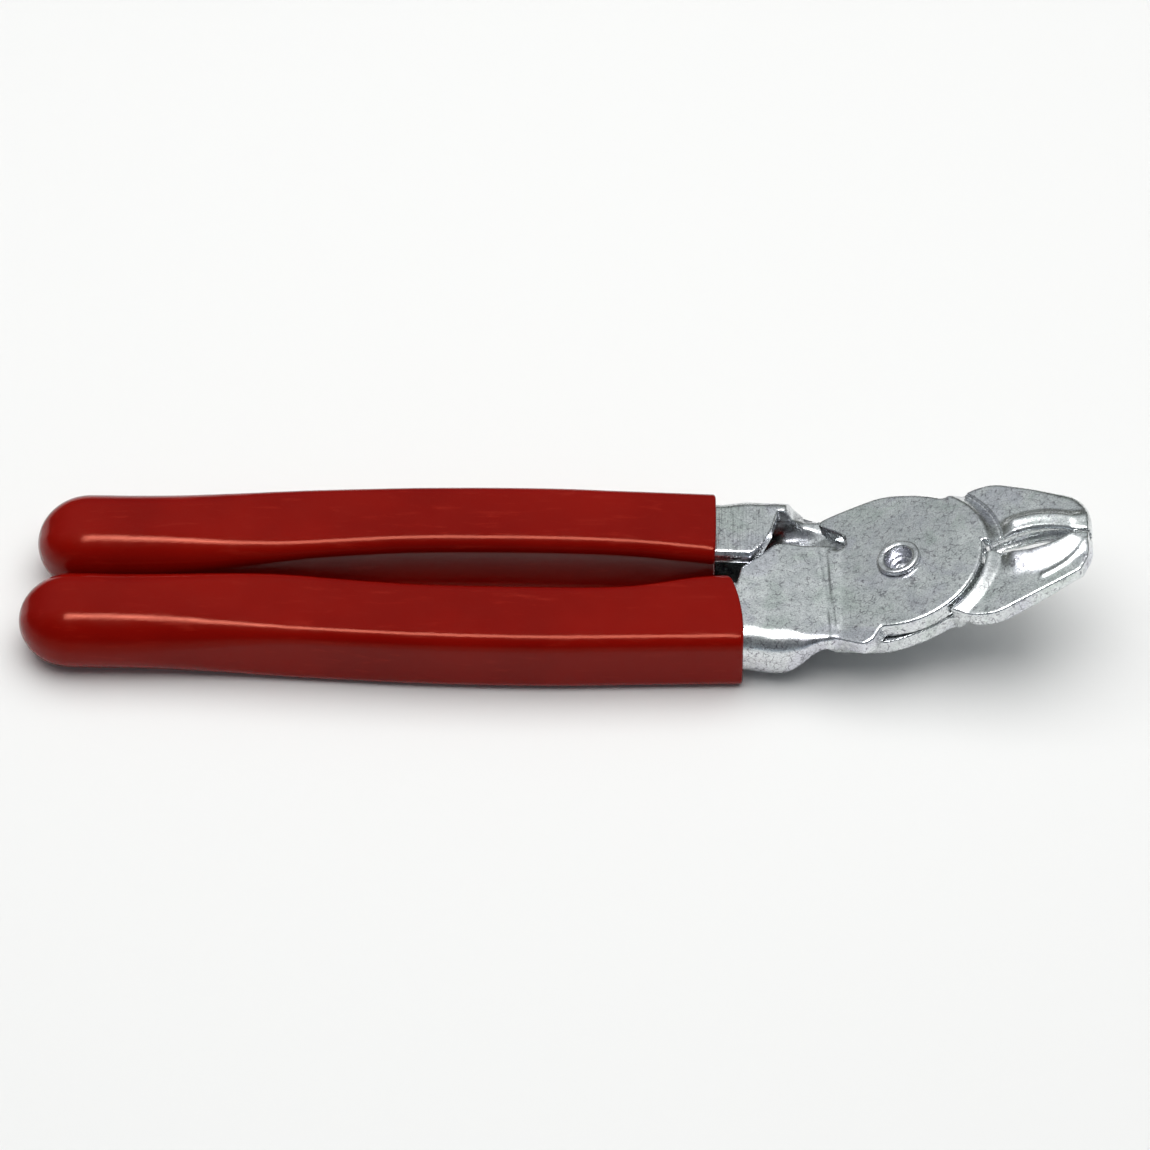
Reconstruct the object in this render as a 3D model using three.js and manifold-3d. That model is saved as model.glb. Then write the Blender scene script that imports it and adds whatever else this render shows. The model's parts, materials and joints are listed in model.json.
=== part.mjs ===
// Hog-ring fencing pliers with angled jaws: two stamped and folded steel levers, one pivot rivet and two
// dipped vinyl grips. Millimetres, +Z up. The pliers lie closed on their grips, jaws towards +X, and the
// origin is under the middle of their box.
import * as THREE from "three";
import { mergeVertices } from "three/addons/utils/BufferGeometryUtils.js";
import Module from "manifold-3d";

const wasm = await Module();
wasm.setup();

// Driving dimensions
const sheet = 3.2; // thickness of the lever steel
const clearance = 0.3; // air between neighbouring pieces
const vinyl = 1.1; // wall of the dipped grips
const shell = vinyl + clearance; // grip surface to steel
const frontDepth = 11; // folded depth of the front lever's handle
const rearDepth = 12; // folded depth of the rear lever's handle
const bend = THREE.MathUtils.degToRad(17.3); // the head is bent up out of the handles' plane
const creaseX = 52.6; // where the front lever's face bends
const pivotRun = 13.2; // from that crease to the pivot, along the head's face
const plateRadius = 16.3; // round end of each pivot plate
const stepRadius = 16.9; // inner side of each jaw's step round the other plate
const jawTip = 36.6; // pivot to the tip of the jaws
const rivetRadius = 3.45;
const rivetHole = rivetRadius + 0.1; // a running fit
const ringGroove = 1.5; // radius of the groove that holds the hog ring
const lipBead = 2.7; // radius of the bead along each edge of the mouth
const frontButt = -101.7; // X of each grip's domed end
const rearButt = -99.2;
const steelButt = -95; // X where both channels begin, inside the grips
const channelEnd = 50; // X that both channels reach before their ends are cut
const neckFlare = 0.9; // the steel widens by this much beyond the grips
const neckSide = 7.6; // the plate's hooked tip lies further out than this, and reaches back past the crease
const plateFoot = 39; // X where the rear lever's sloping plate meets the back of its channel
const roundPower = 2.6; // superellipse power of the handles' section at the butts
const roundFrom = 45; // distance behind the origin where the section starts to grow rounder
const roundTo = 85;

// Heights of the handles' steel
const back = shell;
const frontFace = back + frontDepth;
const rearFace = back + rearDepth;

// The head's own frame has its origin on the pivot axis, midway between the two plates, and its Z along it.
const headOrigin = new THREE.Vector3(
  creaseX + pivotRun * Math.cos(bend) + (sheet + clearance / 2) * Math.sin(bend),
  0,
  frontFace + pivotRun * Math.sin(bend) - (sheet + clearance / 2) * Math.cos(bend),
);
const headMatrix = new THREE.Matrix4().makeRotationY(-bend).setPosition(headOrigin);

// Solids

// A closed three.js geometry as a solid that can be joined and cut.
function solid(geometry) {
  const bare = geometry.clone();
  bare.deleteAttribute("normal");
  bare.deleteAttribute("uv");
  const merged = mergeVertices(bare, 1e-4);
  return new wasm.Manifold(
    new wasm.Mesh({
      numProp: 3,
      vertProperties: merged.attributes.position.array,
      triVerts: new Uint32Array(merged.index.array),
    }),
  );
}

// A flat shape given thickness from one height to another.
function plate(shape, low, high, curveSegments = 8) {
  const made = new THREE.ExtrudeGeometry(shape, { depth: high - low, bevelEnabled: false, curveSegments });
  return made.translate(0, 0, low);
}

// A shape drawn in X and Z, given width along Y.
function sidePlate(points, fromY, toY) {
  const made = plate(new THREE.Shape(points.map(([x, z]) => new THREE.Vector2(x, -z))), fromY, toY);
  return made.rotateX(-Math.PI / 2);
}

function vectors(points) {
  return points.map(([x, y]) => new THREE.Vector2(x, y));
}

function polygon(points) {
  return new THREE.Shape(vectors(points));
}

function inHead(geometry) {
  return geometry.applyMatrix4(headMatrix);
}

function cylinder(radius, low, high, segments = 40) {
  const made = new THREE.CylinderGeometry(radius, radius, high - low, segments);
  return made.rotateX(Math.PI / 2).translate(0, 0, (low + high) / 2);
}

// A ring round the pivot, from a closed profile of radius and height.
function ring(profile, segments = 64) {
  const points = [...profile, profile[0]].map(([r, z]) => new THREE.Vector2(r, z));
  return new THREE.LatheGeometry(points, segments).rotateX(Math.PI / 2);
}

// Plan of the handles: distance from the middle plane to each side of a grip, along the length.
const outerSide = new THREE.SplineCurve(
  vectors([[-102, 18.9], [-84, 19], [-68, 18.7], [-52, 18.8], [-26, 20], [-3, 20.3], [14, 19.8], [50, 18.6]]),
);
const innerPoints = [[-102, 0.4], [-84, 0.4], [-68, 0.8], [-55, 1.5], [-42, 2.8], [-26, 4], [-3, 4.3], [14, 3.8]];
const innerSides = {
  [-1]: new THREE.SplineCurve(vectors([...innerPoints, [30, 0.9], [50, 0.9]])),
  [1]: new THREE.SplineCurve(vectors([...innerPoints, [30, 2.3], [50, 1.9]])),
};

// The height of a plan curve at one station, from a fine sampling of it.
function across(curve, x) {
  const samples = curve.getPoints(240);
  const after = Math.max(1, samples.findIndex((p) => p.x > x));
  const a = samples[after - 1];
  const b = samples[after];
  return THREE.MathUtils.lerp(a.y, b.y, (x - a.x) / (b.x - a.x));
}

// A coordinate of the unit circle moved towards the unit square.
function squared(value, power) {
  const clean = Math.round(value * 1e6) / 1e6;
  return Math.sign(clean) * Math.pow(Math.abs(clean), power);
}

// How far the steel stands out beyond its line inside the grips.
function flareAt(x) {
  return neckFlare * THREE.MathUtils.smoothstep(x, 36.5, 43);
}

// A rounded bar that follows the handle's plan on one side (+1 or -1), set in from the grip's surface by a
// margin. A cylinder is stretched ring by ring: its far end is a dome, and its corners are superellipses.
function handleBar(side, margin, low, high, fromX, toX, corner, rings, segments, flare = () => 0) {
  const dome = 10;
  const smallest = 0.12;
  const made = new THREE.CylinderGeometry(1, 1, 1, segments, rings);
  const position = made.attributes.position;
  const span = toX - fromX;
  for (let i = 0; i < position.count; i++) {
    const s = position.getY(i) + 0.5;
    const x = fromX + span * (1 - Math.cos((s * Math.PI) / 2));
    const inset = Math.max(0, 1 - (x - fromX) / dome);
    const size = Math.max(smallest, Math.sqrt(1 - inset * inset));
    const outer = across(outerSide, x) - margin + flare(x);
    const inner = across(innerSides[side], x) + margin;
    const rounder = THREE.MathUtils.smoothstep(-x, roundFrom, roundTo);
    const power = 2 / THREE.MathUtils.lerp(corner, roundPower, rounder);
    const sideways = squared(position.getX(i), power);
    const upwards = squared(position.getZ(i), power);
    const y = (side * (outer + inner) - sideways * size * (outer - inner)) / 2;
    const z = (low + high + upwards * size * (high - low)) / 2;
    position.setXYZ(i, x, y, z);
  }
  return solid(made);
}

// Levers

// The face of a jaw and pivot plate seen along the pivot, for the lever whose jaw is on the +Y side.
function headOutline() {
  const shape = new THREE.Shape();
  const half = clearance / 2;
  const plateEnd = 1.0;
  const mouthStart = 18.6;
  shape.moveTo(jawTip, half);
  shape.lineTo(jawTip, 5.2);
  shape.quadraticCurveTo(35.8, 8.8, 31.9, 10.8);
  shape.lineTo(20.9, 15.4);
  shape.quadraticCurveTo(19, 16.2, 17, 15.4);
  shape.quadraticCurveTo(13.6, 14.7, 10.6, 13.7);
  shape.splineThru(vectors([[5, 16.1], [-3, 17.1], [-9, 16], [-14, 14.6]]));
  shape.quadraticCurveTo(-17, 13.6, -15.4, 12.4);
  shape.lineTo(-12.3, 10.2);
  shape.quadraticCurveTo(-9.6, 8, -11.4, 6);
  shape.quadraticCurveTo(-12.6, 4.9, -13.6, 6.3);
  shape.lineTo(-17, 7);
  shape.lineTo(-17, -16.6);
  shape.lineTo(-13.4, -16.4);
  shape.splineThru(vectors([[-10.2, -18.1], [-7.3, -19.4], [-5.1, -18.5]]));
  const corner = Math.PI * 1.43;
  shape.lineTo(plateRadius * Math.cos(corner), plateRadius * Math.sin(corner));
  shape.absarc(0, 0, plateRadius, corner, 2 * Math.PI + Math.asin(plateEnd / plateRadius), false);
  shape.lineTo(mouthStart, plateEnd);
  shape.quadraticCurveTo(26, 4.1, 33.6, half);
  shape.closePath();
  return shape;
}

// The sheet between the crease and the grip: a flat face that widens out of the handle.
function neckOutline(toX, gripEnd, gripInner) {
  const shape = new THREE.Shape();
  shape.moveTo(toX, 6.9);
  shape.lineTo(46.5, 7.2);
  shape.quadraticCurveTo(42, 8.6, 40.6, 6.2);
  shape.lineTo(35.3, 1.3);
  shape.lineTo(gripEnd, -gripInner);
  shape.lineTo(gripEnd - 8, -gripInner - 3);
  shape.lineTo(gripEnd - 8, -13);
  shape.lineTo(40, -14);
  shape.lineTo(48.8, -17.3);
  shape.lineTo(toX, -16.5);
  shape.closePath();
  return shape;
}

// A jaw and its step, drawn on the +Y side of a plate at low..high: a ring-shaped step takes the sheet from
// the plate's level to the middle, and a rounded bead along the mouth carries the ring groove.
function jaw(level) {
  const flip = level > 0 ? 1 : -1;
  const half = sheet / 2;
  const near = clearance / 2;
  const far = near + sheet;
  const step = [
    [stepRadius - 2, near],
    [stepRadius, near],
    [stepRadius, -half],
    [stepRadius + 0.8, -half - 0.5],
    [stepRadius + 3, -half],
    [stepRadius + 5, -half],
    [stepRadius + 5, half],
    [stepRadius + 3.3, half],
    [stepRadius + 2.6, half - 0.4],
    [stepRadius + 0.4, far],
    [stepRadius - 2, far],
  ];
  const stepProfile = flip > 0 ? step : step.map(([r, z]) => [r, -z]).reverse();
  const beyondStep = solid(plate(polygon([[19, -3], [40, -3], [40, 18], [8, 18], [12.6, 14.6]]), -half, half))
    .subtract(solid(cylinder(stepRadius + 2.4, -5, 5, 64)));
  const sector = solid(plate(polygon([[6, -1], [60, -1], [60, 60], [9.6, 60], [9.6, 13]]), -6, 6));
  const stepped = solid(ring(stepProfile)).intersect(sector);
  const lip = new THREE.QuadraticBezierCurve3(
    new THREE.Vector3(20.5, 3.4, 0),
    new THREE.Vector3(27, 6, 0),
    new THREE.Vector3(36.9, 1.4, 0),
  );
  const lower = [[17, -half], [22, -lipBead], [31, -lipBead], [38, -half - 0.2]];
  const taper = [...lower, ...lower.map(([x, z]) => [x, -z]).reverse()];
  const bead = circleAlong(lip, lipBead, 14, 12).intersect(solid(sidePlate(taper, -30, 30)));
  return beyondStep.add(stepped).add(bead);
}

// A round bar along a curve.
function circleAlong(path, radius, sides, steps) {
  const section = new THREE.Shape().absarc(0, 0, radius, 0, 2 * Math.PI, false);
  const options = { steps, extrudePath: path, bevelEnabled: false, curveSegments: sides };
  return solid(new THREE.ExtrudeGeometry(section, options));
}

// The groove along both mouth edges that the hog ring lies in.
function mouthGroove() {
  const path = new THREE.QuadraticBezierCurve3(
    new THREE.Vector3(17, 0.3, 0),
    new THREE.Vector3(26.5, 4.6, 0),
    new THREE.Vector3(35.4, 0, 0),
  );
  return circleAlong(path, ringGroove, 10, 10);
}

// The flat head of one lever, with its jaw on the +Y side. level is +1 for the upper plate, -1 for the lower.
function head(level) {
  const near = clearance / 2;
  const [low, high] = level > 0 ? [near, near + sheet] : [-near - sheet, -near];
  const outline = solid(plate(headOutline(), -9, 9));
  const disc = polygon([[-17, -20], [11, -20], [20.2, -6], [20.2, 6], [14.4, 13.4], [9, 18], [-17, 18]]);
  const trimmedDisc = solid(plate(disc, low, high)).intersect(solid(cylinder(stepRadius + 4, -9, 9, 64)).add(
    solid(plate(polygon([[-40, -21], [8, -21], [8, 21], [-40, 21]]), -9, 9)),
  ));
  const besideJaw = solid(plate(polygon([[8, 6], [30, 6], [30, 30], [8, 30]]), -9, 9))
    .add(solid(plate(polygon([[12, 0], [30, 0], [30, 8], [12, 8]]), -9, 9)))
    .subtract(solid(cylinder(stepRadius, -9, 9, 64)));
  return trimmedDisc
    .subtract(besideJaw)
    .add(jaw(level))
    .intersect(outline)
    .subtract(mouthGroove())
    .subtract(solid(cylinder(rivetHole, -9, 9)));
}

function placeInHead(made) {
  const m = headMatrix.elements;
  return made.transform(Array.from(m));
}

function mirrored(made) {
  return made.mirror([0, 1, 0]);
}

// The folded channel of one handle, open towards the other handle.
function channel(side, face) {
  const bar = handleBar(side, shell, back, face, steelButt, channelEnd, 7, 34, 24, flareAt);
  const pocketEdge = [];
  for (let x = steelButt + 3; x <= channelEnd + 2; x += 8) {
    const outer = across(outerSide, Math.min(x, channelEnd - 1)) + flareAt(x);
    pocketEdge.push(new THREE.Vector2(x, side * (outer - shell - sheet)));
  }
  const pocket = new THREE.Shape();
  pocket.moveTo(steelButt - 5, side * -6);
  pocketEdge.forEach((p) => pocket.lineTo(p.x, p.y));
  pocket.lineTo(channelEnd + 5, side * -6);
  pocket.closePath();
  return bar.subtract(solid(plate(pocket, back + sheet, face - sheet)));
}

// Cuts the end of a channel: a slant down the folded wall, and a slant across the flange away from the plate,
// out to flangeReach from the middle plane.
function channelEndCut(side, wallPoints, flangeEnd, flangeReach, flangeLow, flangeHigh) {
  const wall = solid(sidePlate(wallPoints, -30, 30));
  const slantRun = 0.41;
  const slant = polygon([
    [flangeEnd, side * 3],
    [flangeEnd + slantRun * (flangeReach - 3), side * flangeReach],
    [60, side * flangeReach],
    [60, side * -6],
    [flangeEnd - 4, side * -6],
  ]);
  return wall.add(solid(plate(slant, flangeLow, flangeHigh)));
}

// Front lever: its pivot plate lies on top, its handle is on the -Y side and its jaw on the +Y side.
function frontLever() {
  const slope = [[42.6, back - 1], [49.6, frontFace + 0.01], [70, frontFace + 0.01], [70, back - 1]];
  const handle = channel(-1, frontFace).subtract(channelEndCut(-1, slope, 35.6, 14.8, back - 1, back + sheet));
  const neck = solid(plate(neckOutline(creaseX + 0.9, 34.2, 3.6), frontFace - sheet, frontFace));
  const top = placeInHead(head(1));
  const beforeCrease = solid(sidePlate([[0, -5], [creaseX, -5], [creaseX, 40], [0, 40]], -30, neckSide));
  return handle.add(neck).add(top.subtract(beforeCrease));
}

// Rear lever: its pivot plate lies under the front one and runs straight down into its handle's back.
function rearLever() {
  const near = clearance / 2;
  const plane = (x, below) => headOrigin.z - below / Math.cos(bend) + (x - headOrigin.x) * Math.tan(bend);
  const slantEnd = plane(49.4, near);
  const slope = [[43.7, rearFace + 1], [49.4, slantEnd], [70, slantEnd], [70, rearFace + 1]];
  const underPlate = [[plateFoot, -5], [70, -5], [70, plane(70, near + sheet)], [plateFoot, back]];
  const handle = channel(1, rearFace)
    .subtract(channelEndCut(1, slope, 37, 20, rearFace - sheet, rearFace + 1))
    .subtract(solid(sidePlate(underPlate, -30, 30)));
  const neckPlan = mirrored(solid(plate(neckOutline(56, 31.6, 5), -9, 40)));
  const bentSide = [
    [20, back],
    [plateFoot + 1, back],
    [56, plane(56, near + sheet)],
    [56, plane(56, near)],
    [plateFoot + 0.6, back + sheet],
    [20, back + sheet],
  ];
  const neck = solid(sidePlate(bentSide, -30, 30)).intersect(neckPlan);
  const lower = placeInHead(mirrored(head(-1)));
  const beforeHead = solid(sidePlate([[0, -5], [53, -5], [53, 40], [0, 40]], -neckSide, 30));
  return handle.add(neck).add(lower.subtract(beforeHead));
}

// Grips

// One dipped grip: a closed sleeve with a domed butt, open at the neck, hollow for the channel inside.
function grip(side, face, buttX, endLine) {
  const flat = 0.15; // the grip's back is worn flat by this much where it lies on the bench
  const bench = plate(polygon([[-120, -40], [60, -40], [60, 40], [-120, 40]]), -5, 0);
  const outside = handleBar(side, 0, -flat, face + shell, buttX, 46, 5, 28, 32).subtract(solid(bench));
  const hollow = handleBar(side, vinyl, vinyl, face + clearance, buttX + 3, 48, 9, 28, 28);
  const beyondEnd = new THREE.Shape();
  beyondEnd.moveTo(endLine[0], 0);
  beyondEnd.quadraticCurveTo(endLine[1], side * 8, endLine[2], side * 24);
  beyondEnd.lineTo(60, side * 24);
  beyondEnd.lineTo(60, 0);
  beyondEnd.closePath();
  return outside.subtract(hollow).subtract(solid(plate(beyondEnd, -1, 30)));
}

// Rivet

// The pivot rivet: a domed head behind, a shank, and a hollow end rolled over on the front.
function rivet() {
  const seat = clearance / 2 + sheet + 0.2;
  const profile = [
    [0, -seat - 1.7],
    [2.4, -seat - 1.5],
    [4, -seat - 0.9],
    [4.7, -seat],
    [rivetRadius, -seat],
    [rivetRadius, seat],
    [4.25, seat],
    [4.25, seat + 0.5],
    [3.7, seat + 1],
    [3.1, seat + 0.9],
    [2.9, seat + 0.4],
    [2.9, 0.4],
    [2, -0.4],
    [0, -0.8],
  ];
  return new THREE.LatheGeometry(profile.map(([r, z]) => new THREE.Vector2(r, z)), 40).rotateX(Math.PI / 2);
}

// Materials

function zincPlate() {
  return new THREE.MeshStandardMaterial({ color: 0xb4b8ba, roughness: 0.36, metalness: 1 });
}

function brightSteel() {
  return new THREE.MeshStandardMaterial({ color: 0xc9c9c4, roughness: 0.26, metalness: 1 });
}

function redVinyl() {
  return new THREE.MeshStandardMaterial({ color: 0x8c0d04, roughness: 0.22, metalness: 0 });
}

// Assembly

function node(name, made, material) {
  const { vertProperties, triVerts } = made.getMesh();
  const geometry = new THREE.BufferGeometry();
  geometry.setAttribute("position", new THREE.BufferAttribute(vertProperties, 3));
  geometry.setIndex(new THREE.BufferAttribute(triVerts, 1));
  geometry.computeVertexNormals();
  const mesh = new THREE.Mesh(geometry, material);
  mesh.name = name;
  return mesh;
}

const pliers = new THREE.Group();
pliers.add(
  node("front_lever", frontLever(), zincPlate()),
  node("rear_lever", rearLever(), zincPlate()),
  node("pivot_rivet", solid(inHead(rivet())), brightSteel()),
  node("front_grip", grip(-1, frontFace, frontButt, [32.4, 36.8, 35.6]), redVinyl()),
  node("rear_grip", grip(1, rearFace, rearButt, [30.2, 30.9, 30.2]), redVinyl()),
);

export default pliers;
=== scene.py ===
"""Hog-ring fencing pliers: the looks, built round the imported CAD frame. Sizes are millimetres until a mesh
is made, and places come from the frame's pivot joint and the boxes of its nodes."""
import json
import math

import bmesh
import bpy
import numpy as np
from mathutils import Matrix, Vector


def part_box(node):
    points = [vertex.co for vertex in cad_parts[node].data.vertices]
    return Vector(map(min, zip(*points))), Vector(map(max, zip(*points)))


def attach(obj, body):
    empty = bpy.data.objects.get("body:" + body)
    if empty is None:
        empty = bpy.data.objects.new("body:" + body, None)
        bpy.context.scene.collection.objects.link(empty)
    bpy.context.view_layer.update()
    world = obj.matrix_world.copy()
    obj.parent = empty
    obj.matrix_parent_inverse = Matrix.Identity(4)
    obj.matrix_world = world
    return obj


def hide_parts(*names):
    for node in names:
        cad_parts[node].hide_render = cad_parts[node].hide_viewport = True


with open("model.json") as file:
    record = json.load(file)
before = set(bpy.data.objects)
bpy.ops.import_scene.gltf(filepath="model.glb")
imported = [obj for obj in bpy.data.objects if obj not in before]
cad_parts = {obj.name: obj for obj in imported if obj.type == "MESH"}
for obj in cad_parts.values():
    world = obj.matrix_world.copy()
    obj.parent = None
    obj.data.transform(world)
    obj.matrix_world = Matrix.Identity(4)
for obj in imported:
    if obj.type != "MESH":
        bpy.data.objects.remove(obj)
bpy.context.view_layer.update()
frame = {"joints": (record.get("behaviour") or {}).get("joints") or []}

# ---------------------------------------------------------------------------------------------------------
# Sizes, in millimetres
# ---------------------------------------------------------------------------------------------------------
MM = 0.001
SHEET = 3.2            # lever steel
AIR = 0.3              # clearance between pieces
VINYL = 1.1            # wall of the dipped grips
SHELL = VINYL + AIR    # grip surface to steel
STEP_RADIUS = 16.9     # jaw step round the other lever's plate
PLATE_RADIUS = 16.3    # round end of each pivot plate
RIVET_HOLE = 3.55
SHANK = 3.45           # radius
CREASE_BACK = 13.2     # rivet to crease, along the plates
JAW_ROOT = 8.5         # rivet to the start of the jaws, along the plates
EDGE = 0.45            # softened edge of the stampings
JAW_TIP = 36.6         # from the rivet's axis
NECK_SIDE = 7.6        # each plate's hooked tip lies further out than this and reaches past the crease
NECK_FLARE = 0.9       # each channel widens by this where it leaves its grip
REAR_FOOT = 39.0       # X where the rear sheet starts to slope up to its plate
HIDDEN_TO = 27.0       # X up to which the grips hide the steel
FINE, COARSE = 0.24, 1.6   # mesh of the levers where they show, and along X where they don't
LIP = 0.5              # rolled lip at a grip's mouth
BUTT_LENGTH = 10.0     # domed end of a grip
GRIP_TRIM = 0.012      # keeps the grips inside the solids they stand for

joint = next(j for j in frame["joints"] if j["name"] == "pivot")
PIVOT = [c / MM for c in joint["pos_m"]]
BEND = math.atan2(-joint["axis"][0], joint["axis"][2])
CREASE_X = PIVOT[0] - CREASE_BACK * math.cos(BEND) - (SHEET + AIR / 2) * math.sin(BEND)


def box_mm(node):
    low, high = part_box(node)
    return [c / MM for c in low], [c / MM for c in high]


FACE = {-1: box_mm("front_grip")[1][2] - SHELL, 1: box_mm("rear_grip")[1][2] - SHELL}
BUTT = {-1: box_mm("front_grip")[0][0], 1: box_mm("rear_grip")[0][0]}
BACK = SHELL

# ---------------------------------------------------------------------------------------------------------
# Curves and fields
# ---------------------------------------------------------------------------------------------------------


def smoothstep(low, high, value):
    t = np.clip((value - low) / (high - low), 0.0, 1.0)
    return t * t * (3.0 - 2.0 * t)


def bump(value, centre, width):
    """A smooth hill that is 1 at its centre and 0 beyond its width on each side."""
    return 1.0 - smoothstep(0.0, width, np.abs(value - centre))


def bezier(a, control, b, steps=10):
    """Points of a quadratic curve after its start."""
    t = np.linspace(0, 1, steps + 1)[1:, None]
    a, control, b = (np.array(p, float) for p in (a, control, b))
    return [tuple(p) for p in (1 - t) ** 2 * a + 2 * t * (1 - t) * control + t ** 2 * b]


def spline(points, steps=6):
    """Points of a Catmull-Rom curve through the given points, after its start."""
    p = np.array([points[0], *points, points[-1]], float)
    out = []
    for k in range(1, len(p) - 2):
        for t in np.linspace(0, 1, steps + 1)[1:]:
            a, b, c, d = p[k - 1], p[k], p[k + 1], p[k + 2]
            out.append(tuple(0.5 * (2 * b + (c - a) * t + (2 * a - 5 * b + 4 * c - d) * t ** 2
                                    + (3 * b - a - 3 * c + d) * t ** 3)))
    return out


def arc(radius, start, end, steps):
    return [(radius * math.cos(a), radius * math.sin(a)) for a in np.linspace(start, end, steps + 1)]


def polygon_distance(points, x, y):
    """Signed distance to a closed outline, negative inside."""
    p = np.array(points, float)
    best = np.full(x.shape, 1e9)
    inside = np.zeros(x.shape, bool)
    for (x0, y0), (x1, y1) in zip(p, np.roll(p, -1, axis=0)):
        ex, ey = x1 - x0, y1 - y0
        length = ex * ex + ey * ey
        if length < 1e-12:
            continue
        t = np.clip(((x - x0) * ex + (y - y0) * ey) / length, 0, 1)
        best = np.minimum(best, (x - x0 - t * ex) ** 2 + (y - y0 - t * ey) ** 2)
        if y0 != y1:
            crosses = (y0 > y) != (y1 > y)
            inside ^= crosses & (x < (x1 - x0) * (y - y0) / (y1 - y0) + x0)
    return np.where(inside, -np.sqrt(best), np.sqrt(best))


class Raster:
    """An outline's signed distance on a fine grid, read back by interpolation."""

    STEP = 0.2

    def __init__(self, points, margin=8.0):
        p = np.array(points, float)
        self.low = p.min(0) - margin
        count = np.ceil((p.max(0) + margin - self.low) / self.STEP).astype(int) + 1
        gx, gy = np.meshgrid(*(self.low[k] + self.STEP * np.arange(count[k]) for k in (0, 1)), indexing="ij")
        self.grid = polygon_distance(points, gx, gy)

    def __call__(self, x, y):
        fx = np.clip((x - self.low[0]) / self.STEP, 0, self.grid.shape[0] - 1.001)
        fy = np.clip((y - self.low[1]) / self.STEP, 0, self.grid.shape[1] - 1.001)
        i, j = fx.astype(int), fy.astype(int)
        u, v = fx - i, fy - j
        g = self.grid
        return ((1 - u) * (1 - v) * g[i, j] + u * (1 - v) * g[i + 1, j]
                + (1 - u) * v * g[i, j + 1] + u * v * g[i + 1, j + 1])


def both(a, b, radius=EDGE):
    """Where two fields overlap, with the edge between them rounded."""
    a2, b2 = a + radius, b + radius
    corner = np.sqrt(np.maximum(a2, 0) ** 2 + np.maximum(b2, 0) ** 2)
    return np.minimum(np.maximum(a2, b2), 0) + corner - radius


def join(a, b, radius=0.6):
    """Two fields together, with a fillet where they meet."""
    h = np.clip(0.5 + 0.5 * (b - a) / radius, 0, 1)
    return b + (a - b) * h - radius * h * (1 - h)


def cut(a, b, radius=EDGE):
    return both(a, -b, radius)


def surface_net(field, xs, ys, zs):
    """The zero surface of a field sampled on a grid, as one vertex per crossed cell and one quad per edge."""
    sign = field < 0
    nx, ny, nz = field.shape
    total = np.zeros((nx - 1, ny - 1, nz - 1, 3))
    count = np.zeros((nx - 1, ny - 1, nz - 1))
    axes = (np.asarray(xs), np.asarray(ys), np.asarray(zs))
    quads = []
    edges = []
    for axis in range(3):
        a = [slice(None)] * 3
        b = [slice(None)] * 3
        a[axis], b[axis] = slice(0, -1), slice(1, None)
        a, b = tuple(a), tuple(b)
        crossed = np.argwhere(sign[a] != sign[b])
        start = tuple(crossed.T)
        far = crossed.copy()
        far[:, axis] += 1
        end = tuple(far.T)
        t = field[start] / (field[start] - field[end])
        point = np.stack([axes[k][crossed[:, k]] for k in range(3)], axis=1).astype(float)
        point[:, axis] += t * (axes[axis][far[:, axis]] - axes[axis][crossed[:, axis]])
        others = [k for k in range(3) if k != axis]
        for da in (0, 1):
            for db in (0, 1):
                cell = crossed.copy()
                cell[:, others[0]] -= da
                cell[:, others[1]] -= db
                ok = ((cell >= 0) & (cell < np.array(total.shape[:3]))).all(1)
                c = tuple(cell[ok].T)
                np.add.at(total, c, point[ok])
                np.add.at(count, c, 1)
        edges.append((axis, others, crossed, sign[start]))
    used = count > 0
    number = np.full(count.shape, -1)
    number[used] = np.arange(used.sum())
    vertices = total[used] / count[used][:, None]
    for axis, others, crossed, inside in edges:
        corners = []
        for da, db in ((1, 1), (0, 1), (0, 0), (1, 0)):
            cell = crossed.copy()
            cell[:, others[0]] -= da
            cell[:, others[1]] -= db
            corners.append(cell)
        ok = np.ones(len(crossed), bool)
        for cell in corners:
            ok &= ((cell >= 0) & (cell < np.array(count.shape))).all(1)
        quad = np.stack([number[tuple(c[ok].T)] for c in corners], axis=1)
        turn = inside[ok] != (axis == 1)
        quad[~turn] = quad[~turn][:, ::-1]
        quads.append(quad)
    return vertices, np.concatenate(quads)


def mesh_piece(name, vertices, faces):
    mesh = bpy.data.meshes.new(name)
    mesh.from_pydata((np.asarray(vertices) * MM).tolist(), [], [list(map(int, f)) for f in faces])
    mesh.update()
    obj = bpy.data.objects.new(name, mesh)
    bpy.context.scene.collection.objects.link(obj)
    mesh.polygons.foreach_set("use_smooth", [True] * len(mesh.polygons))
    return obj


# ---------------------------------------------------------------------------------------------------------
# Levers: the head is drawn in its own frame, u along the jaws, v across them towards this lever's own jaw,
# and w along the rivet towards the outside of this lever's plate. One head turned over gives the other.
# ---------------------------------------------------------------------------------------------------------
MOUTH = [(18.6, 1.0), (26.0, 4.1), (33.6, AIR / 2)]
OUTER = [(-102, 18.9), (-84, 19), (-68, 18.7), (-52, 18.8), (-26, 20), (-3, 20.3), (14, 19.8), (50, 18.6)]
INNER = [(-102, 0.4), (-84, 0.4), (-68, 0.8), (-55, 1.5), (-42, 2.8), (-26, 4), (-3, 4.3), (14, 3.8)]
INNER_END = {-1: [(30, 0.9), (50, 0.9)], 1: [(30, 2.3), (50, 1.9)]}


def plan_curve(points):
    p = np.array([points[0]] + spline(points, 20), float)
    return lambda x: np.interp(x, p[:, 0], p[:, 1])


outer_side = plan_curve(OUTER)
inner_side = {side: plan_curve(INNER + INNER_END[side]) for side in (-1, 1)}


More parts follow.
